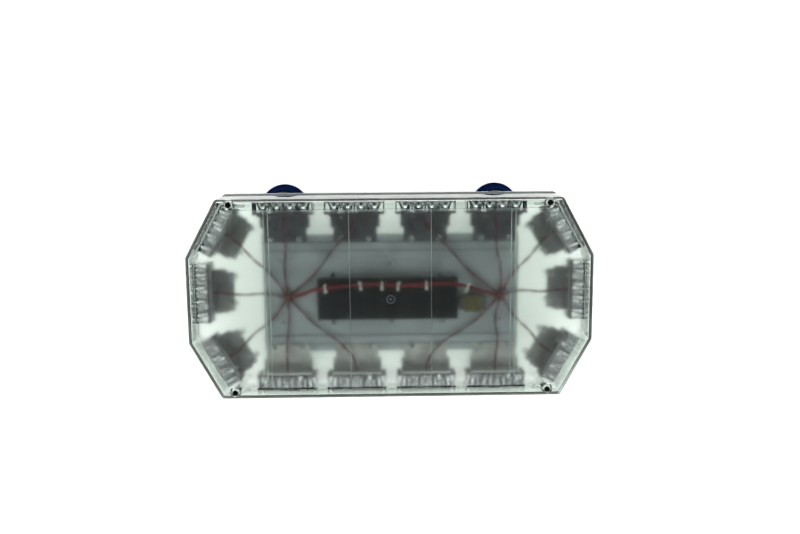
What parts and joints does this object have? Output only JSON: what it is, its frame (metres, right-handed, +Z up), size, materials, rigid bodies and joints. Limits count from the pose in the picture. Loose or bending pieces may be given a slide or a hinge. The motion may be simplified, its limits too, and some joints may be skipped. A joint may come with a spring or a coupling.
{
  "type": "mini LED warning light bar",
  "caption": "Octagonal clear-domed LED warning light bar on tilting magnet feet with rubber suction cups, for a vehicle roof.",
  "frame": {"origin": "on the supporting surface, below the middle of the bar", "axes": "+X along the bar to its right end, +Y to the rear, +Z up"},
  "size_m": [0.403, 0.2242, 0.0825],
  "materials": {
    "clear_tray": "clear, glossy",
    "clear_cover": "clear with a frosted top panel",
    "gasket": "matt",
    "screw_steel": "bright",
    "carrier_aluminium": "extruded, satin",
    "bracket_aluminium": "satin",
    "black_case": "fine texture",
    "circuit_board": "solder mask",
    "led_board": "black solder mask",
    "chromed_plastic": "mirror chrome on plastic",
    "white_nylon": "satin",
    "choke_tape": "tape",
    "wire_red": "PVC",
    "splice_cap": "PVC",
    "black_rubber": "matt",
    "zinc_steel": "zinc plated",
    "blue_rubber": "satin",
    "pot_steel": "plated"
  },
  "bodies": {
    "light_bar": {"base_tray": "clear_tray", "lens_cover": "clear_cover", "lens_gasket": "gasket", "lens_screws": "screw_steel", "chassis_screws": "screw_steel", "module_screws": "screw_steel", "driver_screws": "screw_steel", "heatsink_platform": "carrier_aluminium", "rear_brackets": "bracket_aluminium", "front_brackets": "bracket_aluminium", "corner_brackets": "bracket_aluminium", "end_brackets": "bracket_aluminium", "driver_case": "black_case", "driver_board": "circuit_board", "harness_ties": "white_nylon", "filter_choke": "choke_tape", "trunk_harness": "wire_red", "left_leads": "wire_red", "right_leads": "wire_red", "lead_splices": "splice_cap", "cable_grommet": "black_rubber", "vent_plug": "black_case", "ball_studs": "zinc_steel", "stud_nuts": "zinc_steel", "led_board_rear_1": "led_board", "led_board_rear_2": "led_board", "led_board_rear_3": "led_board", "led_board_rear_4": "led_board", "led_board_front_1": "led_board", "led_board_front_2": "led_board", "led_board_front_3": "led_board", "led_board_front_4": "led_board", "led_board_left": "led_board", "led_board_right": "led_board", "led_board_front_left": "led_board", "led_board_front_right": "led_board", "led_board_rear_right": "led_board", "led_board_rear_left": "led_board", "reflector_rear_1": "chromed_plastic", "reflector_rear_2": "chromed_plastic", "reflector_rear_3": "chromed_plastic", "reflector_rear_4": "chromed_plastic", "reflector_front_1": "chromed_plastic", "reflector_front_2": "chromed_plastic", "reflector_front_3": "chromed_plastic", "reflector_front_4": "chromed_plastic", "reflector_left": "chromed_plastic", "reflector_right": "chromed_plastic", "reflector_front_left": "chromed_plastic", "reflector_front_right": "chromed_plastic", "reflector_rear_right": "chromed_plastic", "reflector_rear_left": "chromed_plastic"},
    "foot_front_left": {"suction_cup_front_left": "blue_rubber", "foot_magnet_front_left": "pot_steel"},
    "foot_front_right": {"suction_cup_front_right": "blue_rubber", "foot_magnet_front_right": "pot_steel"},
    "foot_rear_right": {"suction_cup_rear_right": "blue_rubber", "foot_magnet_rear_right": "pot_steel"},
    "foot_rear_left": {"suction_cup_rear_left": "blue_rubber", "foot_magnet_rear_left": "pot_steel"}
  },
  "joints": [
    {"name": "foot_front_left_tilt", "type": "hinge", "parent": "light_bar", "child": "foot_front_left", "pos_m": [-0.1122, -0.0861, 0.0115], "axis": [0, 1, 0], "range_deg": [-6, 6]},
    {"name": "foot_front_right_tilt", "type": "hinge", "parent": "light_bar", "child": "foot_front_right", "pos_m": [0.1122, -0.0861, 0.0115], "axis": [0, 1, 0], "range_deg": [-6, 6]},
    {"name": "foot_rear_right_tilt", "type": "hinge", "parent": "light_bar", "child": "foot_rear_right", "pos_m": [0.1122, 0.0861, 0.0115], "axis": [0, 1, 0], "range_deg": [-6, 6]},
    {"name": "foot_rear_left_tilt", "type": "hinge", "parent": "light_bar", "child": "foot_rear_left", "pos_m": [-0.1122, 0.0861, 0.0115], "axis": [0, 1, 0], "range_deg": [-6, 6]}
  ]
}
